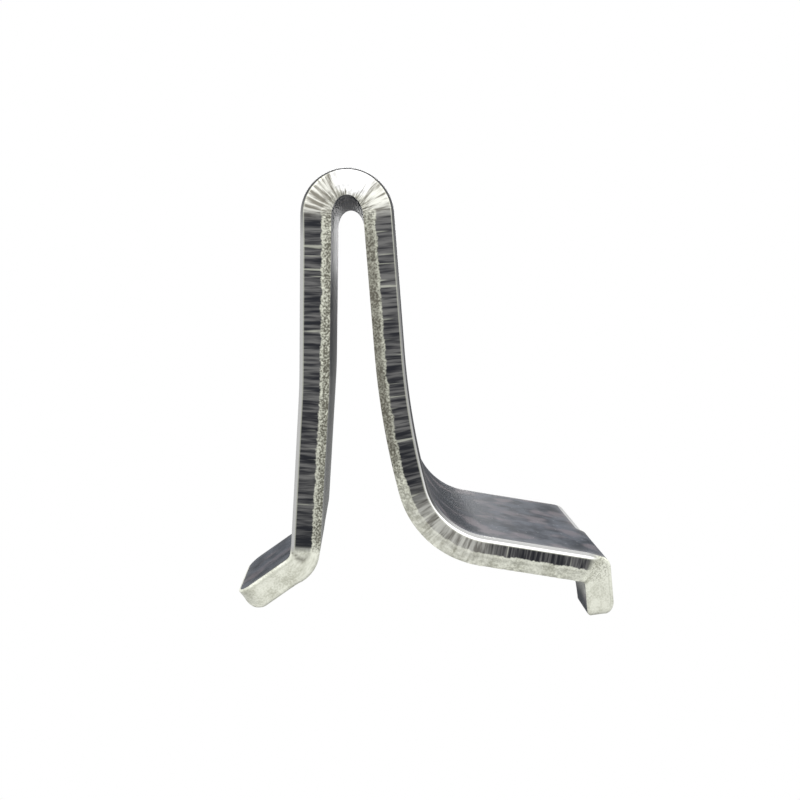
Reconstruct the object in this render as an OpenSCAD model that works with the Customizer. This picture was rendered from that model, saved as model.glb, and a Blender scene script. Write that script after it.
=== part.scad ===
// Pilaster shelf clip: one strip of steel, blanked and then folded.
// It stands hairpin up, as it was photographed. Sizes are in millimetres.
// The origin is the foot of the seat leg, in the middle of its outer face.
// +Z is up, +X points from the seat leg to the ledge, Y runs across the strip.

/* [Strip] */
// width of the strip, which is that of the channel it serves
strip_w = 15.9; // [13:0.1:19]
// thickness of the strip
strip_t = 2.35; // [1.6:0.05:3]
// how far in from the cut edges the die rolls the outer face over
roll_w = 0.65; // [0.4:0.05:0.65]
// how deep that roll is at the cut edge itself
roll_h = 0.3; // [0.1:0.05:0.3]
// share of the thickness that is sheared clean, from the outer face
sheared = 0.6; // [0.4:0.05:0.8]
// how far the torn rest of the cut falls back at the inner face
tear = 0.12; // [0.04:0.02:0.24]

/* [Seat leg] */
// straight length of the leg's lower half, from its shoulders up
leg_low = 12.1; // [8:0.1:18]
// straight length of its upper half
leg_high = 11.8; // [6:0.1:18]
// lean of the lower half off the vertical, in degrees
leg_lean = 3.6; // [3:0.1:8]
// how much of that lean the upper half takes back, in degrees
leg_bow = 2.6; // [1:0.1:3]
// radius of the bow between the halves, at the outer face
bow_r = 50; // [20:1:120]

/* [Hairpin] */
// inner radius of the closed fold at the top
hairpin_r = 1.2; // [0.8:0.05:2]

/* [Brace] */
// straight length below the hairpin
arm_len = 10.4; // [6:0.1:16]
// slope of that length off the vertical, in degrees
arm_slope = 4.7; // [3:0.1:8]
// radius of the brace's slow outward curve, at the outer face
belly_r = 60; // [30:1:120]
// slope at the end of that curve, in degrees off the vertical
shank_slope = 14.5; // [10:0.1:22]
// straight length between the slow curve and the knee
shank_len = 0.7; // [0.4:0.1:4]
// radius of the knee, at the outer face
knee_r = 5.85; // [3:0.05:9]

/* [Ledge] */
// straight length of the ledge, from the knee to its end edge
ledge_len = 10; // [7:0.1:14]
// fall of the ledge below the horizontal, in degrees
ledge_drop = 9.7; // [2:0.1:16]
// radius of its two corners
ledge_corner = 0.9; // [0.7:0.05:1.6]

/* [Tongue] */
// width of the tongue that hooks into the upper slot, from the strip's front edge
tongue_w = 7.7; // [5:0.1:9]
// straight length between the shoulder and the tongue's bend
tongue_neck = 0.2; // [0.2:0.05:1]
// radius of the bend, at the outer face
tongue_r = 0.8; // [0.5:0.05:2]
// fall of the tongue below the horizontal, in degrees
tongue_fall = 35.5; // [25:0.5:60]
// straight length of the tongue after the bend
tongue_len = 4.9; // [3.5:0.1:8]
// radius of the tongue's two tip corners
tongue_tip = 1.3; // [0.7:0.05:2.2]
// radius of its end edge at the inner face
tongue_nose = 1.4; // [0.4:0.05:1.5]
// radius of the shoulder's outer corner
shoulder_r = 0.8; // [0.7:0.05:1.1]
// radius in the corner between shoulder and tongue
root_r = 0.2; // [0.1:0.05:0.4]

/* [Lip] */
// width of the tip of the lip that drops into the lower slot
lip_w = 3.65; // [3:0.05:5]
// width of the lip where it leaves the ledge
lip_root = 7.0; // [5.5:0.1:9]
// radius of the sweep between the two, along its back edge
lip_flare = 4.6; // [3.5:0.1:5]
// thickness of the lip, which is pressed a little thinner
lip_t = 2.2; // [1.6:0.05:2.3]
// length of the lip from its corner to its tip
lip_len = 4.8; // [4:0.1:7]
// outward splay of the lip off the vertical, in degrees
lip_splay = 7; // [0:0.5:10]
// how far the lip stands in front of the ledge's end edge
lip_proud = 0.3; // [0.1:0.05:0.4]
// radius of its corner at the outer face
lip_corner = 1; // [0.7:0.05:1.5]
// radius of its corner at the inner face
lip_r = 0.4; // [0.2:0.05:0.8]
// radius of its tip at the outer face
lip_end = 1.1; // [0.5:0.05:1.2]
// radius of the tip's back corner, seen from the front
lip_tip = 0.4; // [0.3:0.05:1.2]

/* [Hidden] */
$fn = 96;
// turns of the strip, each from the slopes on its two sides
hairpin_turn = 180 - arm_slope - (leg_lean - leg_bow);
belly_turn = shank_slope - arm_slope;
knee_turn = 90 - shank_slope - ledge_drop;
tongue_turn = 90 - leg_lean - tongue_fall;
lip_turn = 90 - ledge_drop - lip_splay;
// radius of the die's roll, and the half turn that both corners of the lip's bend work with
roll_r = (pow(roll_w, 2) + pow(roll_h, 2)) / (2 * roll_h);
lip_slant = tan(lip_turn / 2);
// depth below the outer face at which the clean shear ends
shear_d = sheared * strip_t;
// each fold is a hair thinner than the runs and its ends reach a hair into them
skin = 0.002;
lap = 0.02;
// how far a narrower run reaches back into the strip that it grows from
bite = 1.2;
// anything a cut needs to run clear of the steel
clear = 1;

// the die's mark on one cut edge, to be taken away beyond x = 0; y runs from outer to inner face
module cut_edge(e) {
    fall = tear / (strip_t - shear_d);
    difference() {
        translate([-roll_w, -clear]) square([roll_w + clear, 1.2 * roll_h + clear]);
        translate([-roll_w, roll_r]) circle(roll_r - e);
    }
    polygon([[-e, roll_h / 2], [clear, roll_h / 2], [clear, strip_t + clear],
        [-fall * (strip_t + clear - shear_d) - e, strip_t + clear], [-e, shear_d]]);
}

// the strip's section: x runs from the outer face to the inner face, y across the width
module section(w, e = 0) {
    difference() {
        translate([e, -w / 2]) square([strip_t - 2 * e, w]);
        for (side = [0, 1]) mirror([0, side]) translate([0, w / 2]) rotate(90) mirror([0, 1]) cut_edge(e);
    }
}

// steel behind one cut edge at x = reach, back to x = from
module edge_land(from, reach) {
    difference() {
        translate([from, 0]) square([reach - from, strip_t]);
        translate([reach, 0]) cut_edge(0);
    }
}

// a straight run along +Z, with what follows set on its end
module run(len, w) {
    linear_extrude(len) section(w);
    translate([0, 0, len]) children();
}

// a run whose end edge has corners of radius r, the die's mark carried round them
module rounded_run(len, w, r) {
    linear_extrude(len - r) section(w);
    translate([0, r - w / 2, len - r]) rotate([0, -90, -90]) linear_extrude(w - 2 * r) edge_land(-r / 2, r);
    for (side = [0, 1]) mirror([0, side])
        translate([0, r - w / 2, len - r]) rotate([180, -90, 0]) rotate_extrude(angle = 90) edge_land(0, r);
    translate([0, 0, len]) children();
}

// a fold towards the inner face, of inner radius r
module fold_in(r, turn, w) {
    axis = strip_t + r;
    spare = lap / r * 180 / PI;
    translate([axis, 0, 0]) {
        mirror([1, 0, 0]) rotate([90, 0, 0]) rotate(-spare) rotate_extrude(angle = turn + 2 * spare)
            translate([axis, 0]) mirror([1, 0]) section(w, skin);
        rotate([0, turn, 0]) translate([-axis, 0, 0]) children();
    }
}

// a fold towards the outer face, of radius r at that face
module fold_out(r, turn, w) {
    spare = lap / r * 180 / PI;
    translate([-r, 0, 0]) {
        rotate([90, 0, 0]) rotate(-spare) rotate_extrude(angle = turn + 2 * spare)
            translate([r, 0]) section(w, skin);
        rotate([0, -turn, 0]) translate([r, 0, 0]) children();
    }
}

// what a rounding of radius r takes off a corner at the origin, its steel towards -x and -y
module rounding(r) {
    translate([-r, -r]) difference() {
        square(r + clear);
        circle(r + skin);
    }
}

// an outline with x across the steel and y along it, as wide as the strip and more
module across() {
    translate([0, strip_w, 0]) rotate([90, 0, 0]) linear_extrude(2 * strip_w) children();
}

// the filleted corner behind a tongue of width w that leaves the shoulder, r its radius
module root(w, r) {
    translate([0, w + r - strip_w / 2, r]) mirror([0, 1, 0]) rotate([0, -90, 0]) mirror([0, 0, 1])
        rotate(90) rotate_extrude(angle = 90)
        translate([2 * r + roll_w, 0]) mirror([1, 0]) edge_land(0, r + roll_w);
}

// the upper hook: neck, bend and round-cornered tongue, pointing down from the shoulder
module tongue() {
    translate([0, (tongue_w - strip_w) / 2, -bite]) run(bite + tongue_neck, tongue_w)
        fold_out(tongue_r, tongue_turn, tongue_w) difference() {
            rounded_run(tongue_len, tongue_w, tongue_tip);
            across() translate([strip_t, tongue_len]) rounding(tongue_nose);
        }
    root(tongue_w, root_r);
}

// the lip seen from the side, its outer face on x = 0 and its length along y
module lip_side() {
    knee_y = (strip_t - lip_t * cos(lip_turn)) / sin(lip_turn) + lip_r * lip_slant;
    difference() {
        square([lip_t, lip_len]);
        translate([0, lip_len]) mirror([1, 0]) rounding(lip_end);
        translate([lip_t, lip_len]) rounding(lip_r);
    }
    translate([lip_t + lip_r, knee_y]) difference() {
        polygon([[0, 0], [-lip_r - lip_t / 2, 0], [-lip_r - lip_t / 2, -knee_y],
            [-(lip_r + lip_t / 2) * cos(lip_turn), -(lip_r + lip_t / 2) * sin(lip_turn)]]);
        circle(lip_r + skin);
    }
}

// the lip seen from the front: one edge straight, the other swept in from the root to the tip
module lip_front() {
    sweep = lip_w + lip_flare;
    tip_back = sweep - sqrt(pow(lip_flare + lip_tip, 2) - pow(lip_tip, 2));
    difference() {
        translate([0, -clear]) square([lip_root, lip_len + 2 * clear]);
        translate([sweep, lip_len]) circle(lip_flare);
        translate([sweep, lip_len - lip_flare]) square([lip_root, lip_flare + 3 * clear]);
        translate([tip_back, lip_len - lip_tip]) difference() {
            polygon([[0, 0], [sweep - tip_back, lip_tip], [sweep - tip_back, lip_tip + 3 * clear],
                [0, lip_tip + 3 * clear]]);
            circle(lip_tip + skin);
        }
    }
}

// the lower hook, bent hard down from the ledge's end edge
module lip() {
    intersection() {
        across() lip_side();
        translate([-clear, -strip_w / 2, 0]) rotate([90, 0, 90])
            linear_extrude(lip_t + lip_r + 3 * clear) lip_front();
    }
}

// what the lip's rounded corner takes off, in the lip's own frame
module lip_bend() {
    width = lip_root + clear;
    translate([lip_corner, lip_root - strip_w / 2, lip_corner * lip_slant]) rotate([90, 0, 0])
        linear_extrude(width) difference() {
            polygon([[0, 0], [-lip_corner - clear, 0], [-lip_corner - clear, -(lip_corner + clear) * lip_slant],
                [-(lip_corner + clear) * cos(lip_turn), -(lip_corner + clear) * sin(lip_turn)]]);
            circle(lip_corner + skin);
        }
}

module ledge() {
    difference() {
        union() {
            rounded_run(ledge_len, strip_w, ledge_corner);
            translate([0, (lip_root - strip_w) / 2, ledge_len - bite]) linear_extrude(bite) section(lip_root);
            translate([0, 0, ledge_len + lip_proud]) rotate([0, lip_turn, 0]) lip();
        }
        translate([0, 0, ledge_len + lip_proud]) rotate([0, lip_turn, 0]) lip_bend();
    }
}

module clip() {
    color("silver") rotate([0, leg_lean, 0]) {
        mirror([0, 0, 1]) translate([0, 0, -leg_low]) rounded_run(leg_low, strip_w, shoulder_r) tongue();
        translate([0, 0, leg_low]) fold_out(bow_r, leg_bow, strip_w)
            run(leg_high, strip_w)
            fold_in(hairpin_r, hairpin_turn, strip_w)
            run(arm_len, strip_w)
            fold_out(belly_r, belly_turn, strip_w)
            run(shank_len, strip_w)
            fold_out(knee_r, knee_turn, strip_w)
            ledge();
    }
}

clip();
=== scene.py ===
"""Dresses a folded steel shelf clip for its picture.

The clip is one strip: a flat blank is outlined, filled, folded along a path and finished as zinc-plated
steel. Lengths are in millimetres until the mesh is made, and in metres after that.
"""
import logging
import math
from dataclasses import dataclass, field
from enum import Enum

import bpy
import numpy as np
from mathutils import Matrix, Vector
from mathutils.geometry import delaunay_2d_cdt

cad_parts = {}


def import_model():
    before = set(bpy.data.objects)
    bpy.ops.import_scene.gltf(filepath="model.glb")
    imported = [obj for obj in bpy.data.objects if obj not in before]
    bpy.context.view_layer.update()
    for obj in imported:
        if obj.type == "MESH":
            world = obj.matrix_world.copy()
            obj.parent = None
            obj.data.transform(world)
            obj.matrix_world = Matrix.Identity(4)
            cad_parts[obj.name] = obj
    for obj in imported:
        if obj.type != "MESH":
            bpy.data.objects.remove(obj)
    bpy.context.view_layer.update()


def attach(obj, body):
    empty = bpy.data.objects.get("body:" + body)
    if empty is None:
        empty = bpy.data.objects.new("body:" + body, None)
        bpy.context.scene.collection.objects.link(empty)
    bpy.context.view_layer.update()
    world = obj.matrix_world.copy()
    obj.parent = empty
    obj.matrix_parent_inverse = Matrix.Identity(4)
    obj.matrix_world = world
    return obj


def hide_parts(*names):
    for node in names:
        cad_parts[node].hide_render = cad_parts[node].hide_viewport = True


MM = 0.001
LOG = logging.getLogger("clip")
Colour = tuple[float, float, float]
Range = tuple[float, float]


class Side(Enum):
    """The surfaces that a piece of the strip can show."""
    OUTER = 0
    INNER = 1
    CUT = 2


class Place(Enum):
    """Where a stretch of the strip begins, seen from the tongue."""
    FOOT = "foot"
    HAIRPIN = "hairpin"
    BRACE = "brace"
    KNEE = "knee"
    LEDGE = "ledge"

def ease(x: np.ndarray, start: float, end: float) -> np.ndarray:
    """Goes smoothly from 0 at start to 1 at end.

    Args:
        x: positions, in the same unit as start and end.
        start: where the change begins.
        end: where it is complete; it may lie below start.

    Returns:
        The cubic 3k^2 - 2k^3 of the clamped share k of the way.
    """
    k = np.clip((x - start) / (end - start), 0.0, 1.0)
    return k * k * (3.0 - 2.0 * k)


def grain(u: np.ndarray, v: np.ndarray, seed: int) -> np.ndarray:
    """Smooth random values between -1 and 1 over a plane, one lattice cell per unit.

    Args:
        u: first coordinate of each point.
        v: second coordinate of each point.
        seed: picks the lattice.

    Returns:
        The lattice's random corner values, blended with eased shares inside each cell.
    """
    size = 251
    table = np.random.default_rng(seed).uniform(-1.0, 1.0, (size, size))
    iu, iv = np.floor(u).astype(int), np.floor(v).astype(int)
    fu, fv = ease(u - iu, 0.0, 1.0), ease(v - iv, 0.0, 1.0)
    low = table[iu % size, iv % size] * (1 - fu) + table[(iu + 1) % size, iv % size] * fu
    high = table[iu % size, (iv + 1) % size] * (1 - fu) + table[(iu + 1) % size, (iv + 1) % size] * fu
    return low * (1 - fv) + high * fv


def heading(angle: np.ndarray) -> np.ndarray:
    """Direction of travel along the strip.

    Args:
        angle: angles in radians from +Z towards +X.

    Returns:
        Unit vectors as x and z.
    """
    return np.stack([np.sin(angle), np.cos(angle)], axis=-1)


def inward(angle: np.ndarray) -> np.ndarray:
    """Direction from the outer face to the inner face.

    Args:
        angle: angles of travel in radians.

    Returns:
        Unit vectors as x and z.
    """
    return np.stack([np.cos(angle), -np.sin(angle)], axis=-1)


@dataclass(frozen=True)
class Bend:
    """One stretch of the strip: straight when its turn is 0.

    Attributes:
        length: length along the outer face.
        turn: change of heading in radians, positive towards the inner face.
    """
    length: float
    turn: float = 0.0

    @staticmethod
    def arc(radius: float, degrees: float) -> "Bend":
        """A bend of the given radius.

        Args:
            radius: radius at the outer face.
            degrees: turn, positive towards the inner face.

        Returns:
            The bend, as long as its arc.
        """
        return Bend(radius * math.radians(abs(degrees)), math.radians(degrees))


@dataclass(frozen=True)
class StripSizes:
    """The strip and its folds, as the part's source has them, in millimetres and degrees."""
    width: float = 15.9
    thick: float = 2.35
    roll_w: float = 0.65
    roll_h: float = 0.3
    sheared: float = 0.6
    tear: float = 0.12
    leg_low: float = 12.1
    leg_high: float = 11.8
    leg_lean: float = 3.6
    leg_bow: float = 2.6
    bow_r: float = 50.0
    hairpin_r: float = 1.2
    arm_len: float = 10.4
    arm_slope: float = 4.7
    belly_r: float = 60.0
    shank_slope: float = 14.5
    shank_len: float = 0.7
    knee_r: float = 5.85
    ledge_len: float = 10.0
    ledge_drop: float = 9.7
    ledge_corner: float = 0.9
    tongue_w: float = 7.7
    tongue_neck: float = 0.2
    tongue_r: float = 0.8
    tongue_fall: float = 35.5
    tongue_len: float = 4.9
    tongue_tip: float = 1.3
    tongue_nose: float = 1.4
    shoulder_r: float = 0.8
    root_r: float = 0.2
    lip_w: float = 3.65
    lip_root: float = 7.0
    lip_flare: float = 4.6
    lip_t: float = 2.2
    lip_len: float = 4.8
    lip_splay: float = 7.0
    lip_proud: float = 0.3
    lip_corner: float = 1.0
    lip_r: float = 0.4
    lip_end: float = 1.1
    lip_tip: float = 0.4
    apex_thinning: float = 0.34
    tongue_pressed: float = 0.22


@dataclass
class FoldedPath:
    """The strip's course in the XZ plane, as matching curves of its outer and inner face.

    Attributes:
        sizes: the strip's sizes.
        step: spacing of the stored stations along the outer face.
        step: spacing of the stored stations along the outer face.
        pressed_end: where the tongue's pressing ends, from the foot.
        root_border: width over which the lip's bend dies out, from the lip's root.
    """
    sizes: StripSizes
    step: float = 0.02
    pressed_end: Range = (-1.6, 0.2)
    root_border: Range = (-0.2, 0.5)
    station: np.ndarray = field(init=False)
    outer: np.ndarray = field(init=False)
    inner: np.ndarray = field(init=False)
    flat_outer: np.ndarray = field(init=False)
    flat_inner: np.ndarray = field(init=False)
    foot: float = field(init=False)
    hairpin: tuple[float, float] = field(init=False)
    knee: tuple[float, float] = field(init=False)
    ledge: float = field(init=False)
    tip: float = field(init=False)

    def __post_init__(self) -> None:
        """Walks the bends from the tongue's tip to the ledge and adds the lip."""
        z = self.sizes
        hairpin_turn = 180.0 - z.arm_slope - z.leg_lean + z.leg_bow
        stretches = {
            "tongue": Bend(z.tongue_len),
            "tongue_bend": Bend.arc(z.tongue_r, z.leg_lean + z.tongue_fall - 90.0),
            "neck": Bend(z.tongue_neck),
            "leg_low": Bend(z.leg_low),
            "leg_bow": Bend.arc(z.bow_r, -z.leg_bow),
            "leg_high": Bend(z.leg_high),
            "hairpin": Bend.arc(z.hairpin_r + z.thick, hairpin_turn),
            "arm": Bend(z.arm_len),
            "belly": Bend.arc(z.belly_r, z.arm_slope - z.shank_slope),
            "shank": Bend(z.shank_len),
            "knee": Bend.arc(z.knee_r, z.shank_slope + z.ledge_drop - 90.0),
            "ledge": Bend(z.ledge_len + z.lip_len),
        }
        ends = np.concatenate([[0.0], np.cumsum([p.length for p in stretches.values()])])
        turns = np.concatenate([[0.0], np.cumsum([p.turn for p in stretches.values()])])
        starts = dict(zip(stretches, (float(end) for end in ends)))
        self.foot, self.ledge = starts["leg_low"], starts["ledge"]
        self.hairpin, self.knee = (starts["hairpin"], starts["arm"]), (starts["knee"], starts["ledge"])
        self.station = np.arange(0.0, ends[-1], self.step)
        angle = math.radians(90.0 - z.tongue_fall) + np.interp(self.station, ends, turns)
        middle = 0.5 * (angle[1:] + angle[:-1])
        course = np.concatenate([np.zeros((1, 2)), np.cumsum(heading(middle) * self.step, axis=0)])
        at_foot = np.array([np.interp(self.foot, self.station, course[:, k]) for k in (0, 1)])
        course = course - at_foot
        steel = self.thickness(self.station)
        self.outer, self.inner = course.copy(), course + inward(angle) * steel[:, None]
        self.flat_outer, self.flat_inner = self.outer.copy(), self.inner.copy()
        self._add_lip(angle[-1])

    def thickness(self, at: np.ndarray) -> np.ndarray:
        """Steel thickness: less where the hairpin is drawn thin and the tongue is pressed and rounded.

        Args:
            at: stations along the outer face.

        Returns:
            Thickness in millimetres; a circular rounding takes it down towards the tongue's end.
        """
        z = self.sizes
        middle, half = sum(self.hairpin) / 2, (self.hairpin[1] - self.hairpin[0]) / 2
        apex = np.cos(np.clip((at - middle) / half, -1.0, 1.0) * math.pi / 2) ** 3
        nose = np.clip(z.tongue_nose - at, 0.0, z.tongue_nose)
        rounding = z.tongue_nose - np.sqrt(z.tongue_nose ** 2 - nose ** 2)
        pressed = z.tongue_pressed * (1.0 - ease(at - self.foot, *self.pressed_end))
        return z.thick - z.apex_thinning * apex - pressed - rounding

    def _add_lip(self, angle: float) -> None:
        """Replaces the last stations by the lip: a hard corner, then a straight run to a rounded tip.

        Args:
            angle: heading of the ledge in radians.
        """
        z = self.sizes
        turn = math.radians(90.0 - z.ledge_drop - z.lip_splay)
        slant = math.tan(turn / 2)
        ledge_dir, ledge_in = heading(np.array(angle)), inward(np.array(angle))
        lip_dir, lip_in = heading(np.array(angle + turn)), inward(np.array(angle + turn))
        start = np.array([np.interp(self.ledge, self.station, self.outer[:, k]) for k in (0, 1)])
        corner = start + ledge_dir * (z.ledge_len + z.lip_proud)
        under = (z.thick - z.lip_t * math.cos(turn)) / math.sin(turn)
        inner_corner = corner + lip_in * z.lip_t + lip_dir * under
        along = float((inner_corner - start) @ ledge_dir) - z.lip_r * slant
        first = self.ledge + along
        outer_start = self.ledge + z.ledge_len + z.lip_proud - z.lip_corner * slant
        outer_end = outer_start + z.lip_corner * turn
        reach = under + z.lip_r * slant
        last = outer_end + reach - z.lip_corner * slant
        self.tip = outer_end + z.lip_len - z.lip_corner * slant
        at = self.station
        bend = np.clip((at - outer_start) / (outer_end - outer_start), 0.0, 1.0) * turn
        centre = corner - ledge_dir * z.lip_corner * slant + ledge_in * z.lip_corner
        arc = centre - inward(angle + bend) * z.lip_corner
        run = arc + lip_dir * np.clip(at - outer_end, 0.0, None)[:, None]
        self.outer = np.where((at > outer_start)[:, None], run, self.outer)
        share = np.clip((at - first) / (last - first), 0.0, 1.0) * turn
        fillet = inner_corner - ledge_dir * z.lip_r * slant + ledge_in * z.lip_r
        inside = fillet - inward(angle + share) * z.lip_r + lip_dir * np.clip(at - last, 0.0, None)[:, None]
        self.inner = np.where((at > first)[:, None], inside, self.inner)
        for face, radius, way in ((self.outer, z.lip_end, 1.0), (self.inner, z.lip_r, -1.0)):
            over = np.clip(at - self.tip + radius, 0.0, radius)
            face += way * lip_in * (radius - np.sqrt(radius ** 2 - over ** 2))[:, None]

    def corner_station(self, down: float) -> float:
        """Station of a place on the lip's outer face.

        Args:
            down: length below the lip's sharp corner.

        Returns:
            The station in millimetres.
        """
        return self.tip - self.sizes.lip_len + down

    def station_of(self, place: Place) -> float:
        """Station where a stretch begins.

        Args:
            place: the stretch.

        Returns:
            The station in millimetres.
        """
        return {Place.FOOT: self.foot, Place.HAIRPIN: self.hairpin[0], Place.BRACE: self.hairpin[1],
                Place.KNEE: self.knee[0], Place.LEDGE: self.ledge}[place]

    def fold(self, at: np.ndarray, across: np.ndarray, depth: np.ndarray) -> np.ndarray:
        """Places points of the flat blank on the folded strip.

        Args:
            at: stations along the outer face.
            across: positions across the strip.
            depth: share of the way from the outer face (0) to the inner face (1).

        Returns:
            Points in millimetres. Each lies on the line between the two faces' curves at its station;
            behind the lip's root the ledge stays flat to its end edge.
        """
        z = self.sizes
        root = z.lip_root - z.width / 2
        bent = 1.0 - ease(across - root, *self.root_border)
        point = np.empty((len(at), 2))
        for k in (0, 1):
            lip = [np.interp(at, self.station, face[:, k]) for face in (self.outer, self.inner)]
            flat = [np.interp(at, self.station, face[:, k]) for face in (self.flat_outer, self.flat_inner)]
            mixed = [f + (b - f) * bent for f, b in zip(flat, lip)]
            point[:, k] = mixed[0] + (mixed[1] - mixed[0]) * depth
        return np.column_stack([point[:, 0], across, point[:, 1]])


def rounded_outline(corners: list[tuple[float, float, float]], spacing: float) -> np.ndarray:
    """A closed polygon with its corners rounded, resampled at even distances.

    Args:
        corners: x, y and radius of each corner, in order.
        spacing: wanted distance between points.

    Returns:
        Points along straight sides and tangent arcs, none repeated.
    """
    steps = 24
    points = []
    for i, (x, y, radius) in enumerate(corners):
        here = np.array([x, y])
        if radius <= 0:
            points.append(here)
            continue
        before = np.array(corners[i - 1][:2]) - here
        after = np.array(corners[(i + 1) % len(corners)][:2]) - here
        before, after = before / np.linalg.norm(before), after / np.linalg.norm(after)
        half = math.acos(float(np.clip(before @ after, -1, 1))) / 2
        middle = (before + after) / np.linalg.norm(before + after)
        centre = here + middle * radius / math.sin(half)
        first, last = here + before * radius / math.tan(half), here + after * radius / math.tan(half)
        for k in np.linspace(0.0, 1.0, steps):
            ray = (first - centre) * (1 - k) + (last - centre) * k
            points.append(centre + ray / np.linalg.norm(ray) * radius)
    loop = np.array(points + [points[0]])
    length = np.concatenate([[0.0], np.cumsum(np.linalg.norm(np.diff(loop, axis=0), axis=1))])
    even = np.linspace(0.0, length[-1], int(length[-1] / spacing), endpoint=False)
    return np.column_stack([np.interp(even, length, loop[:, k]) for k in (0, 1)])


@dataclass(frozen=True)
class Grain:
    """Random relief of the cut edge.

    Attributes:
        length: cell length along the outline in millimetres.
        through: cell size through the thickness; infinite where lines run straight through.
        seed: picks the lattice.
        weight: its share of the relief.
        layer: row of the lattice that it starts from.
    """
    length: float
    through: float
    seed: int
    weight: float = 1.0
    layer: float = 0.0

    def values(self, run: np.ndarray, row: np.ndarray) -> np.ndarray:
        """The relief at points of the cut edge.

        Args:
            run: distances along the outline.
            row: distances from the outer face.

        Returns:
            Values around 0, a row for each distance from the outer face.
        """
        return self.weight * grain(run / self.length, row / self.through + self.layer, self.seed)


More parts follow.
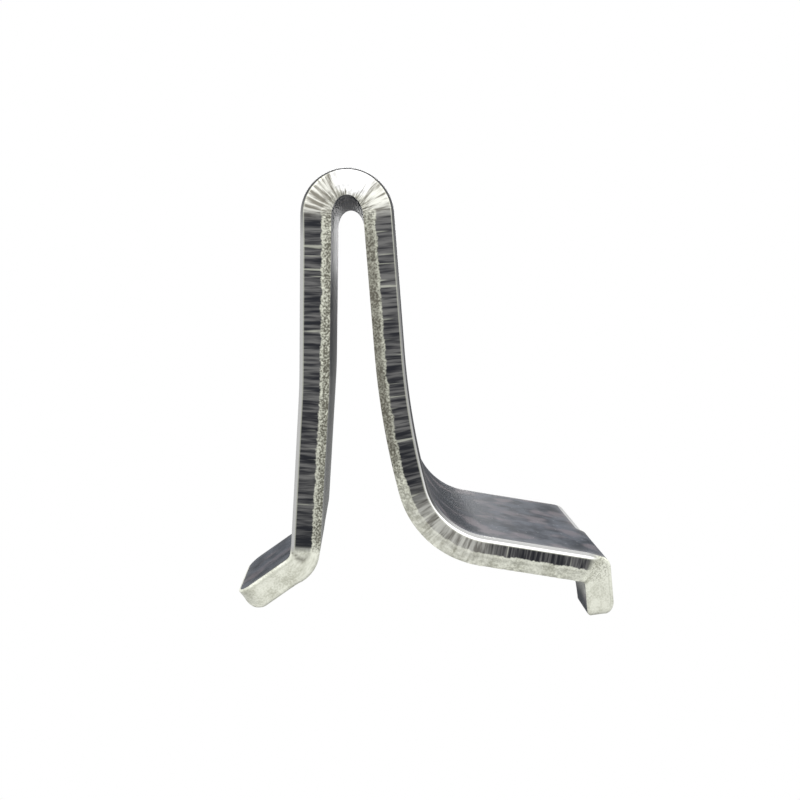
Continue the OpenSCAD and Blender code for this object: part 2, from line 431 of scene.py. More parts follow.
@dataclass
class Blank:
    """The flat blank: its outline, the section of its cut edge and the points that fill it.

    Attributes:
        path: the course it is folded along.
        spacing: distance between outline points.
        tip_corner: radius of the lip's front corner.
        run_out: how far the lip's sweep runs past its root.
        end_fillet: radius between that sweep and the ledge's end edge.
        sweep_points: points on the lip's sweep.
        tongue_border: where the tongue's pressing fades, from the foot.
        lip_border: where the lip's pressing begins, from the ledge's end edge.
        lip_side: where it fades across, from the lip's root.
        crease_lift: how far the crease lies before the foot.
        crease_sag: how far its middle hangs further down.
        crease_width: half width of the crease.
        crease_foot: depth share where the crease has died out.
        rows: points on the roll, the land and the torn part.
        land_top: depth of the land's first row.
        torn_step: depth between the land and the torn part's first row.
        pressed_r: edge radius of tongue and lip.
        grain_depth: how rough the torn part of the cut is.
        torn_mean: how far the torn part lies back, in grain depths.
        drag_depth: depth of the land's drag lines.
        hammer_depth: unevenness of the pressed edge.
        crease_depth: depth of the crease.
        torn_grains: relief of the torn part.
        drag_grains: relief of the land.
        hammer_grain: relief of the pressed edge.
        line_gap: distance between the filling's lines.
        hairpin_gap: the same in the hairpin.
        row_gap: distance between the filling's rows.
        clearance: least distance from the filling to the loop.
    """
    path: FoldedPath
    spacing: float = 0.125
    tip_corner: float = 0.45
    run_out: float = 0.55
    end_fillet: float = 0.6
    sweep_points: int = 40
    tongue_border: Range = (-0.3, 0.5)
    lip_border: Range = (-1.5, -0.5)
    lip_side: Range = (0.0, 0.8)
    crease_lift: float = 0.05
    crease_sag: float = 0.4
    crease_width: float = 0.11
    crease_foot: float = 0.8
    rows: tuple[int, int, int] = (7, 5, 9)
    land_top: float = 0.45
    torn_step: float = 0.1
    pressed_r: float = 0.2
    grain_depth: float = 0.045
    torn_mean: float = 0.7
    drag_depth: float = 0.011
    hammer_depth: float = 0.02
    crease_depth: float = 0.07
    torn_grains: tuple[Grain, ...] = (Grain(0.32, 0.3, 5), Grain(0.15, 0.17, 6, 0.6))
    drag_grains: tuple[Grain, ...] = (Grain(0.22, math.inf, 7, 1.0, 3.5), Grain(0.6, math.inf, 8, 0.7, 1.5))
    hammer_grain: Grain = Grain(1.1, 0.9, 9)
    line_gap: float = 0.3
    hairpin_gap: float = 0.17
    row_gap: float = 0.42
    clearance: float = 0.11

    def outline(self) -> np.ndarray:
        """The blank's edge.

        Returns:
            Points as station and position across, counter-clockwise.
        """
        p, z = self.path, self.path.sizes
        half = z.width / 2
        sweep = z.lip_w + z.lip_flare
        last = z.lip_len - math.sqrt(z.lip_flare ** 2 - (sweep - z.lip_root + self.run_out) ** 2)
        down = np.linspace(z.lip_len - z.lip_tip, last, self.sweep_points)
        inset = sweep - np.sqrt(z.lip_flare ** 2 - (z.lip_len - down) ** 2) - half
        end, behind = p.ledge + z.ledge_len, z.tongue_w - half
        corners = [(0.0, -half, z.tongue_tip), (p.tip, -half, self.tip_corner),
                   (p.tip, z.lip_w - half, z.lip_tip)]
        corners += [(p.corner_station(float(d)), float(y), 0.0) for d, y in zip(down, inset)]
        corners += [(end, z.lip_root - half + self.run_out, self.end_fillet), (end, half, z.ledge_corner),
                    (p.foot, half, z.shoulder_r), (p.foot, behind, z.root_r), (0.0, behind, z.tongue_tip)]
        return rounded_outline(corners, self.spacing)

    def pressed(self, at: np.ndarray, across: np.ndarray) -> np.ndarray:
        """How far the edge was smoothed by pressing.

        Args:
            at: stations of the points.
            across: their positions across the strip.

        Returns:
            1 on tongue and lip, 0 between them and behind.
        """
        z = self.path.sizes
        end, root = self.path.ledge + z.ledge_len, z.lip_root - z.width / 2
        lip = ease(at - end, *self.lip_border) * (1.0 - ease(across - root, *self.lip_side))
        return np.maximum(1.0 - ease(at - self.path.foot, *self.tongue_border), lip)

    def crease(self, at: np.ndarray, depth: np.ndarray) -> np.ndarray:
        """The small crease that the bend pressed into the foot's edge, as a share of its full depth.

        Args:
            at: stations of the points.
            depth: their depth shares.

        Returns:
            A bell across a line that sags in the middle, fading towards the inner face.
        """
        sag = self.crease_sag * np.sin(np.clip(depth / self.crease_foot, 0.0, 1.0) * math.pi)
        middle = self.path.foot - self.crease_lift - sag
        fading = (1.0 - ease(depth, 0.45, self.crease_foot)) * ease(depth, 0.0, 0.08)
        return np.exp(-((at - middle) / self.crease_width) ** 2) * fading

    def section(self) -> tuple[np.ndarray, np.ndarray, np.ndarray]:
        """The cut edge's section from the outer to the inner face.

        Returns:
            Depth shares, insets of a sheared edge and insets of a pressed edge. The sheared edge
            rolls over on an arc, runs straight, then falls back; the pressed one is rounded twice.
        """
        z = self.path.sizes
        roll, land, torn = self.rows
        border = z.sheared * z.thick
        radius = (z.roll_w ** 2 + z.roll_h ** 2) / (2 * z.roll_h)
        turn = np.linspace(0.0, math.asin(z.roll_w / radius), roll)
        depth = np.concatenate([radius * (1 - np.cos(turn)), np.linspace(self.land_top, border, land),
                                np.linspace(border + self.torn_step, z.thick, torn)])
        inset = np.concatenate([z.roll_w - radius * np.sin(turn), np.zeros(land),
                                z.tear * np.linspace(0.1, 1, torn)])
        small = self.pressed_r
        near = np.minimum(depth, z.thick - depth)
        lost = small - np.sqrt(np.clip(small ** 2 - np.clip(small - near, 0, small) ** 2, 0, None))
        return depth / z.thick, inset, lost

    def wall(self) -> tuple[np.ndarray, np.ndarray, np.ndarray]:
        """The cut edge's grid: one row of points for each depth, round the whole outline.

        Returns:
            Station and position across for each row and outline point, the depth shares, and the
            outline's stations. Points are moved along the outline's normal by the section's inset.
        """
        edge = self.outline()
        ahead, behind = np.roll(edge, -1, axis=0), np.roll(edge, 1, axis=0)
        tangent = ahead - behind
        tangent /= np.linalg.norm(tangent, axis=1)[:, None]
        normal = np.column_stack([tangent[:, 1], -tangent[:, 0]])
        depth, inset, lost = self.section()
        smooth = self.pressed(edge[:, 0], edge[:, 1])
        run = np.arange(len(edge)) * self.spacing
        cut_in = inset[:, None] * (1 - smooth) + lost[:, None] * smooth
        torn = ease(depth, self.path.sizes.sheared, self.path.sizes.sheared + 0.1)[:, None] * (1 - smooth)
        row = depth[:, None] * self.path.sizes.thick
        rough = sum(relief.values(run, row) for relief in self.torn_grains)
        drag = sum(relief.values(run, row) for relief in self.drag_grains)
        land = (ease(depth, 0.1, 0.2) * (1 - ease(depth, 0.55, 0.62)))[:, None] * (1 - smooth)
        flat = smooth * (ease(depth, 0.1, 0.3) * ease(depth, 0.95, 0.75))[:, None]
        moved = -cut_in - self.grain_depth * torn * (self.torn_mean + rough)
        moved -= self.drag_depth * land * (1 + drag)
        moved -= self.hammer_depth * flat * (1 + self.hammer_grain.values(run, row))
        moved -= self.crease_depth * self.crease(edge[:, 0], depth[:, None])
        moved = np.minimum(moved, 0.0)
        return edge[None] + moved[:, :, None] * normal[None], depth, edge

    def filling(self, loop: np.ndarray) -> tuple[np.ndarray, np.ndarray]:
        """Fills a closed loop of the blank with a grid of points and joins them into triangles.

        Args:
            loop: the loop's points, counter-clockwise.

        Returns:
            The points inside, and triangles whose indices count the loop's points first.
        """
        p, z = self.path, self.path.sizes
        block, tiny, nearest = 2000, 1e-9, 0.05
        dense = 1 - np.cos(np.linspace(0.2, 1.5, 9))
        lines = np.sort(np.concatenate([
            np.arange(self.line_gap, p.tip, self.line_gap), np.arange(*p.hairpin, self.hairpin_gap),
            p.tip - z.lip_end * dense, z.tongue_nose * dense]))
        lines = lines[np.concatenate([[True], np.diff(lines) > nearest])]
        rows = np.arange(-z.width / 2 + self.line_gap, z.width / 2, self.row_gap)
        grid = np.stack(np.meshgrid(lines, rows), axis=-1).reshape(-1, 2)
        ahead = np.roll(loop, -1, axis=0)
        rise = ahead[:, 1] - loop[:, 1]
        rise = np.where(np.abs(rise) < tiny, tiny, rise)
        keep = np.zeros(len(grid), bool)
        for start in range(0, len(grid), block):
            some = grid[start:start + block, None]
            spans = (loop[None, :, 1] > some[..., 1]) != (ahead[None, :, 1] > some[..., 1])
            cross = loop[:, 0] + (some[..., 1] - loop[:, 1]) * (ahead[:, 0] - loop[:, 0]) / rise
            inside = (spans & (some[..., 0] < cross)).sum(axis=1) % 2 == 1
            away = np.min(np.sum((some - loop[None]) ** 2, axis=-1), axis=1) > self.clearance ** 2
            keep[start:start + block] = inside & away
        points = np.concatenate([loop, grid[keep]])
        result = delaunay_2d_cdt([Vector(q) for q in points], [], [list(range(len(loop)))], 1, 1e-7)
        origin = np.array([first[0] for first in result[3]])
        return grid[keep], origin[np.array(result[2])]


@dataclass
class FinishedSurface:
    """Points of the clip and what its finishes need to know about them.

    Attributes:
        at: station of each point.
        across: position of each point across the strip.
        depth: depth share of each point.
        side: 0 on the outer face, 1 on the inner face, 2 on the cut edge.
    """
    at: np.ndarray
    across: np.ndarray
    depth: np.ndarray
    side: np.ndarray

@dataclass(frozen=True)
class Pattern:
    """A cloudy pattern on the strip.

    Attributes:
        stretch: factor on each of the three coordinates; on a fixed one it picks the layer.
        scale: how fine the clouds are.
        detail: how many finer clouds are added.
    """
    stretch: tuple[float, float, float]
    scale: float
    detail: float
class Nodes:
    """A material's node tree, with every node made by one method."""

    def __init__(self, tree: bpy.types.NodeTree) -> None:
        """Empties the tree.

        Args:
            tree: the tree to fill.
        """
        self.tree = tree
        tree.nodes.clear()

    def add(self, kind: str, settings: dict | None = None, inputs: dict | None = None) -> bpy.types.Node:
        """Makes one node.

        Args:
            kind: the node's type name.
            settings: properties to set.
            inputs: values or sockets for its inputs, by name or number.

        Returns:
            The new node.
        """
        node = self.tree.nodes.new(kind)
        for name, value in (settings or {}).items():
            setattr(node, name, value)
        for name, value in (inputs or {}).items():
            if isinstance(value, Signal):
                self.tree.links.new(value.socket, node.inputs[name])
            else:
                node.inputs[name].default_value = value
        return node

    def attribute(self, name: str) -> "Signal":
        """Reads what the mesh stores.

        Args:
            name: the attribute's name.

        Returns:
            Its value.
        """
        return Signal(self, self.add("ShaderNodeAttribute", {"attribute_name": name}).outputs["Fac"])

    def pattern(self, kind: Pattern, first: "Signal", second: "Signal", third: "Signal | float") -> "Signal":
        """Cloudy values around 0.5.

        Args:
            kind: the pattern.
            first: first coordinate.
            second: second coordinate.
            third: third coordinate.

        Returns:
            The pattern's value.
        """
        x, y, z = (place * factor for place, factor in zip((first, second, third), kind.stretch))
        where = Signal(self, self.add("ShaderNodeCombineXYZ", inputs={0: x, 1: y, 2: z}).outputs[0])
        node = self.add("ShaderNodeTexNoise",
                        inputs={"Vector": where, "Scale": kind.scale, "Detail": kind.detail})
        return Signal(self, node.outputs[0])

    def mix(self, share: "Signal", low: "Signal | Colour", high: "Signal | Colour") -> "Signal":
        """Blends two colours.

        Args:
            share: how much of the second colour shows.
            low: first colour.
            high: second colour.

        Returns:
            The colour between them.
        """
        inputs = {0: share}
        for slot, value in ((6, low), (7, high)):
            inputs[slot] = value if isinstance(value, Signal) else (*value, 1.0)
        node = self.add("ShaderNodeMix", {"data_type": "RGBA"}, inputs)
        return Signal(self, node.outputs[2])

    def surface(self, body: "Signal", rough: "Signal", height: "Signal", steel: "Steel") -> None:
        """Ends the material with its shader.

        Args:
            body: colour.
            rough: roughness.
            height: height of the fine relief.
            steel: the surface's fixed values.
        """
        bump = self.add("ShaderNodeBump", inputs={
            "Strength": steel.relief, "Distance": steel.relief_depth, "Height": height})
        shader = self.add("ShaderNodeBsdfPrincipled", inputs={
            "Base Color": body, "Metallic": steel.metal, "Roughness": rough,
            "Specular IOR Level": steel.shine, "Normal": Signal(self, bump.outputs[0])})
        self.add("ShaderNodeOutputMaterial", inputs={"Surface": Signal(self, shader.outputs[0])})

    def ramp(self, value: "Signal", start: float, end: float) -> "Signal":
        """Eased rise of a value.

        Args:
            value: what is judged.
            start: value that gives 0.
            end: value that gives 1; it may lie below start.

        Returns:
            A share from 0 to 1.
        """
        inputs = {"Value": value, "From Min": start, "From Max": end}
        if end < start:
            inputs = {"Value": value, "From Min": end, "From Max": start, "To Min": 1.0, "To Max": 0.0}
        node = self.add("ShaderNodeMapRange", {"interpolation_type": "SMOOTHSTEP"}, inputs)
        return Signal(self, node.outputs[0])


@dataclass(frozen=True)
class Signal:
    """A node's output that can be added, subtracted and multiplied like a number."""
    nodes: Nodes
    socket: bpy.types.NodeSocket

    def _math(self, kind: str, first: "Signal | float", second: "Signal | float") -> "Signal":
        """One step of arithmetic as a node.

        Args:
            kind: the operation's name.
            first: first value.
            second: second value.

        Returns:
            The result.
        """
        return Signal(self.nodes, self.nodes.add("ShaderNodeMath", {"operation": kind},
                                                 {0: first, 1: second}).outputs[0])

    def __add__(self, other: "Signal | float") -> "Signal":
        """Adds.

        Args:
            other: what is added.

        Returns:
            The sum.
        """
        return self._math("ADD", self, other)

    def __mul__(self, other: "Signal | float") -> "Signal":
        """Multiplies.

        Args:
            other: the factor.

        Returns:
            The product.
        """
        return self._math("MULTIPLY", self, other)

    def __sub__(self, other: "Signal | float") -> "Signal":
        """Subtracts.

        Args:
            other: what is taken away.

        Returns:
            The difference.
        """
        return self._math("SUBTRACT", self, other)

    def __rsub__(self, other: float) -> "Signal":
        """Subtracts from a number.

        Args:
            other: the number.

        Returns:
            The difference.
        """
        return self._math("SUBTRACT", other, self)

    __radd__ = __add__
    __rmul__ = __mul__

@dataclass(frozen=True)
class Steel:
    """Fixed values of a plated surface.

    Attributes:
        metal: how metallic it is.
        shine: strength of its reflections.
        relief: strength of its fine relief.
        relief_depth: depth of that relief in metres.
    """
    metal: float
    shine: float
    relief: float
    relief_depth: float
@dataclass(frozen=True)
class CutEdgeFinish:
    """The blank's cut edge: a rolled-over rim with painted highlight and painted dark reflection, a dark
    smooth land with drag lines whose darkness is partly painted reflection, and a pale torn part.

    Attributes:
        land: the land's dark and light colours; their darkness is partly painted dark reflection.
        torn: the torn part's shadow and crystal colours.
        worn: colour that dulls the torn part of the brace; it also paints the shade in the foot's crease.
        arched: dark and light flecks round the hairpin.
        roll: darkest and brightest colour of the rolled-over rim, its painted dark reflection and painted
            highlight.
        pressed: dark and light colours of the pressed tongue and lip.
        hairpin_highlight_colour: near-white colour of the painted highlight on the hairpin's outside.
        drag: pattern of the land's drag lines.
        lines: pattern of its bright lines.
        scores: pattern of its dark scores.
        fray: patterns that fray the border to the torn part, each with its share.
        pits: pattern of the torn crystals.
        clouds: pattern of slow changes.
        flecks: pattern round the hairpin.
        steel: the surface's fixed values.
        smoothness: how much less rough the land is than the torn part's value.
        roughness: roughness of the torn part.
    """
    land: tuple[Colour, Colour] = ((0.012, 0.013, 0.017), (0.125, 0.124, 0.122))
    torn: tuple[Colour, Colour] = ((0.105, 0.102, 0.080), (0.520, 0.530, 0.450))
    worn: Colour = (0.085, 0.078, 0.062)
    arched: tuple[Colour, Colour] = ((0.200, 0.190, 0.160), (0.760, 0.760, 0.700))
    roll: tuple[Colour, Colour] = ((0.018, 0.019, 0.022), (0.98, 0.98, 0.96))
    pressed: tuple[Colour, Colour] = ((0.400, 0.405, 0.330), (0.720, 0.730, 0.640))
    hairpin_highlight_colour: Colour = (0.97, 0.97, 0.97)
    drag: Pattern = Pattern((2.4, 0.45, 0.4), 1.6, 3.0)
    lines: Pattern = Pattern((1.9, 0.25, 1.0), 1.5, 1.5)
    scores: Pattern = Pattern((5.0, 0.7, 1.0), 1.4, 2.0)
    fray: tuple[tuple[Pattern, float], ...] = (
        (Pattern((1.0, 0.0, 1.0), 0.9, 3.0), 0.22), (Pattern((3.0, 1.0, 1.0), 1.5, 2.0), 0.10))
    pits: Pattern = Pattern((3.4, 8.0, 1.0), 1.9, 4.0)
    clouds: Pattern = Pattern((1.0, 2.0, 1.0), 0.8, 3.0)
    flecks: Pattern = Pattern((2.0, 0.6, 1.0), 1.9, 3.0)
    steel: Steel = Steel(0.1, 0.2, 0.35, 0.00004)
    smoothness: float = 0.15
    roughness: float = 0.50

    def material(self, name: str) -> bpy.types.Material:
        """Builds the finish.

        Args:
            name: the material's name.

        Returns:
            The material; its zones follow the depth share, their borders are frayed by noise.
        """
        made = bpy.data.materials.new(name)
        made.use_nodes = True
        n = Nodes(made.node_tree)
        where = [n.attribute(key) for key in ("along", "depth", "across")]
        depth = where[1]
        smooth, tone, stretch = (n.attribute(key) for key in ("pressed", "tone", "stretch"))
        shear, worn, arch = (n.attribute(key) for key in ("shear", "worn", "arch"))
        drag, pits, clouds = (n.pattern(kind, *where) for kind in (self.drag, self.pits, self.clouds))
        fray = sum(n.pattern(kind, *where) * share for kind, share in self.fray)
        above = depth - fray + 0.16 - shear
        in_land, crest = n.ramp(above, 0.03, -0.03), n.ramp(above, 0.16, 0.02)
        torn = n.mix(n.ramp(pits + clouds * 0.35 + crest * 0.12, 0.56, 0.90), *self.torn)
        torn = n.mix(worn * (1.0 - crest * 0.6), torn, self.worn)
        pressed = n.mix(n.ramp(clouds * 0.6 + pits * 0.4, 0.30, 0.62), *self.pressed)
        torn = n.mix(n.attribute("soft"), torn, pressed)
        body = n.mix(in_land, torn, self._land(n, where, drag, tone))
        body = n.mix(smooth, body, pressed)
        # Painted shade: the foot's crease is darkened with the dull colour.
        body = n.mix(n.attribute("crease") * 0.75, body, self.worn)
        body = n.mix(n.attribute("scuff") * n.ramp(pits, 0.50, 0.40), body, self.worn)
        flecks = n.pattern(self.flecks, *where)
        body = n.mix(arch, body, n.mix(n.ramp(flecks + tone * 0.3 - 0.15, 0.38, 0.66), *self.arched))
        # Painted highlight: the hairpin's outside is turned near white, frayed by the flecks.
        bright = n.ramp(stretch + flecks * 0.9 - 0.45, 0.30, 0.70) * n.ramp(stretch, 0.05, 0.4)
        body = n.mix(bright, body, self.hairpin_highlight_colour)
        body = self._rim(n, body, depth, smooth, stretch)
        n.surface(body, in_land * -self.smoothness + self.roughness, pits + drag * 0.5, self.steel)
        return made

    def _land(self, n: Nodes, where: list[Signal], drag: Signal, tone: Signal) -> Signal:
        """The sheared land's colour.

        Args:
            n: the material's nodes.
            where: station, depth share and place across.
            drag: the drag lines' pattern.
            tone: how bright the land is at this station.

        Returns:
            Steel painted dark for the reflection the smooth land shows, with darker scores and bright lines.
        """
        lines = n.ramp(n.pattern(self.lines, *where), 0.62, 0.70)
        scores = n.ramp(n.pattern(self.scores, *where), 0.42, 0.30)
        # Partly painted: the smooth land's near-black stands in for its dark reflection; the drag lines and
        # scores are its own.
        land = n.mix(n.ramp(drag + tone * 0.5 - 0.25, 0.36, 0.70), *self.land)
        land = n.mix(scores * 0.6, land, self.land[0])
        return n.mix(lines * 0.5, land, self.torn[1])

    def _rim(self, n: Nodes, body: Signal, depth: Signal, smooth: Signal, stretch: Signal) -> Signal:
        """Adds the rolled-over rim, with its painted highlight and painted dark reflection, and the painted
        light line under it.

        Args:
            n: the material's nodes.
            body: the colour so far.
            depth: depth share.
            smooth: how far the edge was pressed smooth; it has no rim there.
            stretch: strength of the painted highlight on the hairpin's outside; the painted light line is
                left off there.

        Returns:
            The colour with its rim.
        """
        # Painted highlight and painted dark reflection on the rolled-over rim, then a painted light line
        # just inside it.
        tone, under = n.attribute("rim_reflection_tone"), n.attribute("under_rim_reflection_tone")
        start, end = n.attribute("rim_from"), n.attribute("rim_to")
        past = depth - end
        in_line = n.ramp(past, -0.035, -0.005) * n.ramp(past, 0.045, 0.015)
        body = n.mix(in_line * (1.0 - stretch) * 0.55, body, self.torn[1])
        shown = n.ramp(depth - start, -0.010, 0.010)
        rolled = n.mix(shown, n.mix(under, *self.roll), n.mix(tone, *self.roll))
        return n.mix(n.ramp(past, 0.012, -0.012) * (1.0 - smooth), body, rolled)


@dataclass(frozen=True)
class RolledFaceFinish:
    """The plated faces of the rolled strip: blue-grey, mottled, with fine rolling lines and paler rims
    painted as highlight.

    Attributes:
        dark: the plating's deep colour.
        pale: its lighter patches.
        warm: its few reddish patches.
        rim: pale colour of the painted highlight along the faces' edges; the small worn spots use it too.
        light: colour where a face catches the light along the seat leg.
        patches: pattern of the plating.
        mill: pattern of the rolling lines.
        spots: pattern of the small worn spots.
        stains: pattern of the reddish patches.
        steel: the surface's fixed values.
    """
    dark: Colour = (0.010, 0.014, 0.021)
    pale: Colour = (0.070, 0.078, 0.094)
    warm: Colour = (0.125, 0.108, 0.118)
    rim: Colour = (0.34, 0.33, 0.33)
    light: Colour = (0.50, 0.51, 0.48)
    patches: Pattern = Pattern((1.0, 1.0, 0.0), 0.55, 5.0)
    mill: Pattern = Pattern((0.25, 4.0, 0.0), 1.8, 3.0)
    spots: Pattern = Pattern((1.0, 1.0, 4.0), 3.2, 2.0)
    stains: Pattern = Pattern((0.8, 1.0, 9.0), 0.45, 2.0)
    steel: Steel = Steel(0.12, 0.08, 0.18, 0.00003)

    def material(self, name: str) -> bpy.types.Material:
        """Builds the finish.

        Args:
            name: the material's name.

        Returns:
            The material; patches, rolling lines along the strip and the painted highlight of the rims are
            mixed in turn.
        """
        made = bpy.data.materials.new(name)
        made.use_nodes = True
        n = Nodes(made.node_tree)
        where = (n.attribute("along"), n.attribute("across"), 1.0)
        rim, tone, glow = n.attribute("rim"), n.attribute("tone"), n.attribute("glow")
        patches, mill = n.pattern(self.patches, *where), n.pattern(self.mill, *where)
        spots, stains = n.pattern(self.spots, *where), n.pattern(self.stains, *where)
        body = n.mix(n.ramp(patches * 0.75 + mill * 0.25 + tone - 0.5, 0.36, 0.64), self.dark, self.pale)
        body = n.mix(n.ramp(stains, 0.50, 0.66) * 0.6, body, self.warm)
        body = n.mix(n.ramp(spots, 0.66, 0.78) * 0.35, body, self.rim)
        # Painted highlight along the faces' edges, stronger on the ledge.
        body = n.mix(rim * (mill * 0.5 + 0.6), body, self.rim)
        body = n.mix(glow, body, self.light)
        n.surface(body, patches * 0.30 + 0.34, mill * 0.6 + spots * 0.4, self.steel)
        return made


@dataclass(frozen=True)
class RimStage:
    """The rolled-over rim at one place, with its painted highlight and dark reflection; between two places
    it changes evenly.

    Attributes:
        place: the stretch that the place is measured from.
        offset: distance from that stretch's beginning in millimetres.
        rim_reflection_tone: brightness of the rim, from painted dark reflection at 0 to painted highlight at
            1.
        under_rim_reflection_tone: brightness between the outer face and the rim, painted the same way.
        rim_from: depth share where the rim begins.
        rim_to: depth share where it ends.
        shear: depth share where the torn part begins.
    """
    place: Place
    offset: float
    rim_reflection_tone: float
    under_rim_reflection_tone: float
    rim_from: float
    rim_to: float
    shear: float


@dataclass(frozen=True)
class WearAndPaintedLight:
    """Where the finishes change and how strongly: real wear and painted highlight, light and shade. Ranges
    are millimetres from the place they name.

    Attributes:
        bow: the painted highlight zone on the hairpin's outside, from the hairpin's middle.
        bow_shift: how far that zone lies towards the brace.
        bow_strength: its strength.
        arch: the flecked zone, from the hairpin's middle.
        flecks: the flecked zone at the knee, from the knee's middle.
        flecks_shift: how far it lies towards the ledge.
        flecks_share: its strength.
        inner_depth: depth shares over which both zones weaken.
        inner_loss: what they lose at the inner face.
        knee: the burnished zone, from the knee's middle.
        seat: the lit zone of the seat leg's inner face, from the foot.
        seat_glow: its strength.
        brace_in: where the brace's burnish begins, from the hairpin's end.
        brace_out: where it ends, from the hairpin's end.
        mean_tone: tone of a plain part.
        knee_tone: tone that the knee's edge gains.
        brace_tone: tone that the brace's edge gains.
        grain_tone: tone that the grain adds.
        tone_cell: size of that grain along and across.
        tone_seed: picks that grain.
        face_knee_tone: tone that the faces lose at the knee, painted shade in the bend.
        back_rim: share of the rim's painted brightness left on the back half.
        soft: where the torn part grows smooth, from the knee's beginning.
        soft_share: how smooth it grows.
        worn_in: where the dulled part begins, from the hairpin's end.
        worn_out: where it ends, from the knee's beginning.
        worn_share: how dull it is.
        scuff_in: where the lip's scuff begins, from the ledge's end edge.
        scuff_out: where it ends, from the ledge's end edge.
        scuff_share: its strength.
        rim_reach: how far the faces' painted rim highlight reaches inwards.
        rim_share: strength of the faces' painted rim highlight.
        ledge_rim: what they gain on the ledge.
        ledge_rim_in: where they gain it, from the ledge's beginning.
        lip_in: where the lip's inner face is lit, from its tip.
        lip_out: where that ends, from its tip.
    """
    bow: Range = (3.5, 0.4)
    bow_shift: float = 0.7
    bow_strength: float = 0.85
    arch: Range = (6.0, 4.2)
    flecks: Range = (4.6, 1.5)
    flecks_shift: float = 0.6
    flecks_share: float = 0.5
    inner_depth: Range = (0.6, 1.0)
    inner_loss: float = 0.5
    knee: Range = (5.0, 1.5)
    seat: Range = (17.0, 11.0)
    seat_glow: float = 0.55
    brace_in: Range = (-1.0, 0.0)
    brace_out: Range = (11.0, 5.0)
    mean_tone: float = 0.5
    knee_tone: float = 0.20
    brace_tone: float = 0.14
    grain_tone: float = 0.08
    tone_cell: Range = (2.3, 3.0)
    tone_seed: int = 11
    face_knee_tone: float = 0.12
    back_rim: float = 0.45
    soft: Range = (-3.0, 3.0)
    soft_share: float = 0.8
    worn_in: Range = (-1.0, 2.0)
    worn_out: Range = (0.0, -5.0)
    worn_share: float = 0.55
    scuff_in: Range = (-1.2, -0.4)
    scuff_out: Range = (2.0, 0.6)
    scuff_share: float = 0.4
    rim_reach: float = 0.55
    rim_share: float = 0.25
    ledge_rim: float = 0.55
    ledge_rim_in: Range = (-2.0, 2.0)
    lip_in: Range = (-1.0, -2.8)
    lip_out: Range = (-4.2, -3.4)


RIM_VALUES = ("rim_reflection_tone", "under_rim_reflection_tone", "rim_from", "rim_to", "shear")
# Stations of the rim's painted highlight and dark reflection along the strip.
RIM_STAGES = (
    RimStage(Place.FOOT, 0.0, 0.42, 0.42, 0.0, 0.125, 0.70),
    RimStage(Place.HAIRPIN, -2.0, 0.36, 0.36, 0.0, 0.125, 0.70),
    RimStage(Place.HAIRPIN, 1.5, 0.02, 0.02, 0.0, 0.09, 0.66),
    RimStage(Place.BRACE, -1.5, 0.02, 0.02, 0.03, 0.09, 0.62),
    RimStage(Place.KNEE, -2.0, 0.42, 0.02, 0.07, 0.12, 0.68),
    RimStage(Place.KNEE, 1.5, 0.80, 0.06, 0.085, 0.125, 0.60),
    RimStage(Place.LEDGE, -2.5, 1.0, 0.36, 0.065, 0.125, 0.54),
    RimStage(Place.LEDGE, 4.0, 1.0, 0.36, 0.065, 0.125, 0.52),
)


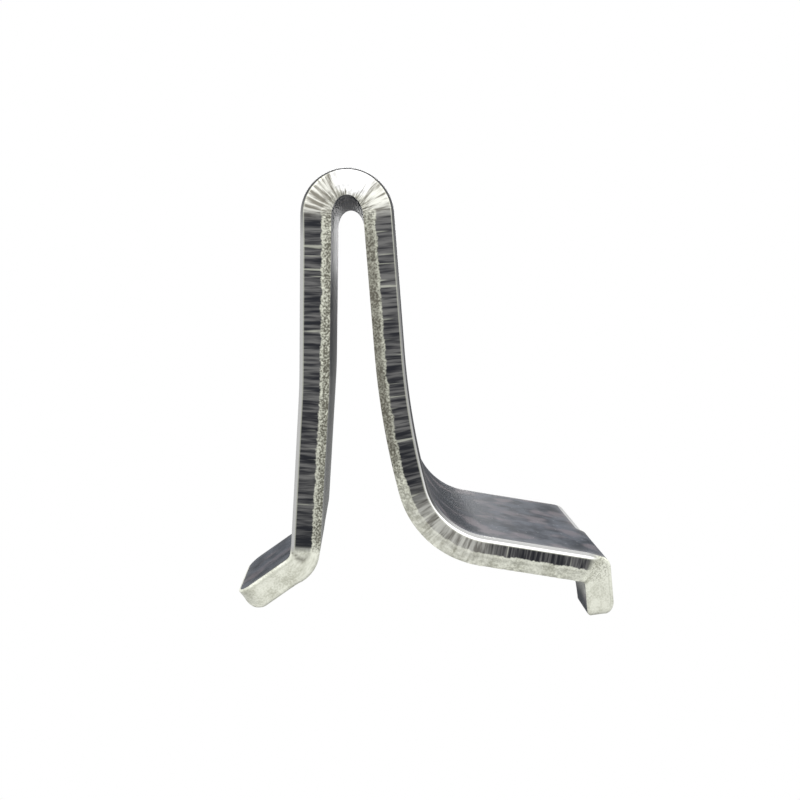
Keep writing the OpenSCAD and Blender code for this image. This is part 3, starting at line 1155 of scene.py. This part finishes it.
@dataclass
class Clip:
    """The whole clip, one folded strip.

    Attributes:
        sizes: its sizes.
        edge_finish: finish of its cut edges.
        face_finish: finish of its rolled faces.
        wear: where the finishes change, wear and painted light alike.
        path: its course, made from the sizes.
    """
    sizes: StripSizes = field(default_factory=StripSizes)
    edge_finish: CutEdgeFinish = field(default_factory=CutEdgeFinish)
    face_finish: RolledFaceFinish = field(default_factory=RolledFaceFinish)
    wear: WearAndPaintedLight = field(default_factory=WearAndPaintedLight)
    path: FoldedPath = field(init=False)

    def __post_init__(self) -> None:
        """Works out the strip's course."""
        self.path = FoldedPath(self.sizes)

    def mesh(self) -> bpy.types.Object:
        """Makes the clip's mesh: the cut edge's grid, closed by the two filled faces.

        Returns:
            The mesh object, at the origin, with the values that its finishes read.
        """
        sharp = 50.0
        blank = Blank(self.path)
        wall, depth, edge = blank.wall()
        rows, count = wall.shape[:2]
        first, top = blank.filling(wall[0])
        last, under = blank.filling(wall[-1])
        flat = np.concatenate([wall.reshape(-1, 2), first, last])
        depths = np.concatenate([np.repeat(depth, count), np.zeros(len(first)), np.ones(len(last))])
        points = self.path.fold(flat[:, 0], flat[:, 1], depths) * MM
        ring = np.arange(count)
        after = np.roll(ring, -1)
        strips = np.arange(rows - 1)[:, None] * count
        quads = np.stack([strips + ring, strips + after, strips + count + after, strips + count + ring],
                         axis=-1).reshape(-1, 4)
        base = rows * count
        top = np.where(top < count, top, top - count + base)
        under = np.where(under < count, under + base - count, under - count + base + len(first))[:, ::-1]
        walls = np.concatenate([quads[:, [0, 2, 1]], quads[:, [0, 3, 2]]])
        faces = np.concatenate([walls[:, ::-1], top, under])
        mesh = bpy.data.meshes.new("folded_strip")
        mesh.from_pydata(points.tolist(), [], faces.tolist())
        kind = np.concatenate([np.full(len(walls), 1), np.zeros(len(top) + len(under), int)])
        mesh.polygons.foreach_set("material_index", kind)
        mesh.polygons.foreach_set("use_smooth", np.ones(len(faces), bool))
        side = np.concatenate([np.full(base, Side.CUT.value), np.full(len(first), Side.OUTER.value),
                               np.full(len(last), Side.INNER.value)])
        surface = FinishedSurface(flat[:, 0], flat[:, 1], depths, side)
        for name, values in self.paint(surface, blank, edge).items():
            layer = mesh.attributes.new(name, "FLOAT", "POINT")
            layer.data.foreach_set("value", values.astype(np.float32))
        mesh.update()
        mesh.set_sharp_from_angle(angle=math.radians(sharp))
        piece = bpy.data.objects.new("folded_strip", mesh)
        bpy.context.scene.collection.objects.link(piece)
        return piece

    def paint(self, surface: FinishedSurface, blank: Blank, edge: np.ndarray) -> dict[str, np.ndarray]:
        """What the finishes read at each point.

        Args:
            surface: the clip's points.
            blank: the blank they came from.
            edge: the blank's outline.

        Returns:
            Values by name, one for each point: where it lies, and how strongly each zone of the
            finishes shows there.
        """
        at, across, p, w = surface.at, surface.across, self.path, self.wear
        on_cut, on_inner = surface.side == Side.CUT.value, surface.side == Side.INNER.value
        past_hairpin, to_knee = at - p.hairpin[1], at - p.knee[0]
        to_end, to_tip = at - p.ledge - self.sizes.ledge_len, at - p.tip
        bend_middle, knee_middle = at - sum(p.hairpin) / 2, at - sum(p.knee) / 2
        outside = 1.0 - w.inner_loss * ease(surface.depth, *w.inner_depth)
        # Painted highlight on the hairpin's outside, weaker towards the inner face; it is stored as stretch.
        bow = w.bow_strength * ease(np.abs(bend_middle - w.bow_shift), *w.bow)
        arch = np.maximum(ease(np.abs(bend_middle), *w.arch),
                          w.flecks_share * ease(np.abs(knee_middle - w.flecks_shift), *w.flecks))
        knee = ease(np.abs(knee_middle), *w.knee)
        brace = ease(past_hairpin, *w.brace_in) * ease(past_hairpin, *w.brace_out)
        mottle = grain(at / w.tone_cell[0], across / w.tone_cell[1], w.tone_seed)
        edge_tone = w.mean_tone + w.knee_tone * knee + w.brace_tone * brace + w.grain_tone * mottle
        seat = w.seat_glow * on_inner * ease(at - p.foot, *w.seat)
        lip = on_inner * ease(to_tip, *w.lip_in) * ease(to_tip, *w.lip_out)
        # Painted highlight along the outer faces' edges, stronger towards the ledge.
        rim = w.rim_share + w.ledge_rim * ease(at - p.ledge, *w.ledge_rim_in)
        values = {
            "along": at, "across": across, "depth": surface.depth, "pressed": blank.pressed(at, across),
            "stretch": bow * outside, "arch": arch * outside,
            # The faces' tone drops at the knee as painted shade in the bend.
            "tone": np.where(on_cut, edge_tone, w.mean_tone - w.face_knee_tone * knee),
            "rim": np.exp(-self.gap(at, across, edge) / w.rim_reach) * ~on_inner * rim,
            "glow": np.maximum(seat, lip),
            "worn": w.worn_share * ease(past_hairpin, *w.worn_in) * ease(to_knee, *w.worn_out),
            "scuff": w.scuff_share * ease(to_end, *w.scuff_in) * ease(to_end, *w.scuff_out),
            "soft": w.soft_share * ease(to_knee, *w.soft),
            "crease": blank.crease(at, surface.depth) * on_cut,
        }
        stations = [p.station_of(stage.place) + stage.offset for stage in RIM_STAGES]
        for name in RIM_VALUES:
            values[name] = np.interp(at, stations, [getattr(stage, name) for stage in RIM_STAGES])
        # The back half keeps less of the rim's painted brightness.
        values["rim_reflection_tone"] = np.where(across > 0.0, w.back_rim, 1.0) * values["rim_reflection_tone"]
        return values

    @staticmethod
    def gap(at: np.ndarray, across: np.ndarray, edge: np.ndarray) -> np.ndarray:
        """Distance of points to the blank's outline.

        Args:
            at: stations of the points.
            across: their positions across the strip.
            edge: the outline's points.

        Returns:
            Distances to the nearest of every third outline point, in millimetres.
        """
        block, every = 4000, 3
        nearest = np.empty(len(at))
        for start in range(0, len(at), block):
            some = np.column_stack([at, across])[start:start + block, None]
            squares = np.sum((some - edge[None, ::every]) ** 2, axis=-1)
            nearest[start:start + block] = np.sqrt(np.min(squares, axis=1))
        return nearest

    def dress(self, piece: bpy.types.Object) -> None:
        """Gives the clip its finishes and ties it to the frame.

        Args:
            piece: the clip's mesh object.
        """
        piece.data.materials.append(self.face_finish.material("rolled_face"))
        piece.data.materials.append(self.edge_finish.material("cut_edge"))
        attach(piece, "root")
        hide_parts("clip")


@dataclass(frozen=True)
class Lamp:
    """A square soft lamp.

    Attributes:
        place: its centre in millimetres.
        size: its side in millimetres.
        power: its power in watts.
    """
    place: tuple[float, float, float]
    size: float
    power: float


@dataclass(frozen=True)
class Studio:
    """White surroundings, soft lamps and the camera.

    Attributes:
        lens: focal length in millimetres.
        sensor: width of the picture behind the lens in millimetres.
        stand: the camera's place in millimetres.
        down: how far the camera looks down, in degrees.
        turn: how far it is turned about the upright, in degrees.
        roll: how far it is rolled, in degrees.
        target: what the lamps point at, in millimetres.
        daylight: brightness that the surroundings give to surfaces.
        lamps: the lamps.
    """
    lens: float = 37.35
    sensor: float = 36.0
    stand: tuple[float, float, float] = (6.16, -71.55, 21.6)
    down: float = 8.485
    turn: float = -2.184
    roll: float = -0.326
    target: tuple[float, float, float] = (10.0, 0.0, 10.0)
    daylight: float = 0.62
    lamps: tuple[Lamp, ...] = (
        Lamp((-60.0, -80.0, 110.0), 60.0, 0.20), Lamp((90.0, -30.0, 70.0), 50.0, 0.08),
        Lamp((10.0, 120.0, 60.0), 80.0, 0.12))

    def surround(self) -> None:
        """White to the camera, and a little dimmer to what it lights, so colours hold."""
        world = bpy.data.worlds.new("white_room")
        world.use_nodes = True
        bpy.context.scene.world = world
        n = Nodes(world.node_tree)
        path = n.add("ShaderNodeLightPath")
        seen = Signal(n, path.outputs["Is Camera Ray"])
        strength = seen * (1.0 - self.daylight) + self.daylight
        sky = n.add("ShaderNodeBackground", inputs={"Color": (1.0, 1.0, 1.0, 1.0), "Strength": strength})
        n.add("ShaderNodeOutputWorld", inputs={"Surface": Signal(n, sky.outputs[0])})

    def light(self) -> None:
        """Sets the lamps."""
        for number, lamp in enumerate(self.lamps):
            data = bpy.data.lights.new(f"lamp_{number}", "AREA")
            data.energy, data.size = lamp.power, lamp.size * MM
            made = bpy.data.objects.new(f"lamp_{number}", data)
            made.location = Vector(lamp.place) * MM
            away = (Vector(self.target) - Vector(lamp.place)).to_track_quat("-Z", "Y")
            made.rotation_euler = away.to_euler()
            bpy.context.scene.collection.objects.link(made)

    def camera(self) -> None:
        """Sets the camera, a little above the ledge and turned slightly towards the ledge's side."""
        data = bpy.data.cameras.new("camera")
        data.lens, data.sensor_width = self.lens, self.sensor
        data.clip_start, data.clip_end = 0.001, 10.0
        made = bpy.data.objects.new("camera", data)
        made.location = Vector(self.stand) * MM
        made.rotation_euler = [math.radians(angle) for angle in (90.0 - self.down, self.roll, self.turn)]
        bpy.context.scene.collection.objects.link(made)
        bpy.context.scene.camera = made
        bpy.context.scene.view_settings.view_transform = "Standard"


def main() -> None:
    """Loads the frame, builds the clip and its studio, and logs the clip's face count."""
    logging.basicConfig(level=logging.INFO, format="%(name)s: %(message)s")
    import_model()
    clip = Clip()
    piece = clip.mesh()
    clip.dress(piece)
    LOG.info("%s: %d faces", piece.name, len(piece.data.polygons))
    studio = Studio()
    studio.surround()
    studio.light()
    studio.camera()


if __name__ == "__main__":
    main()
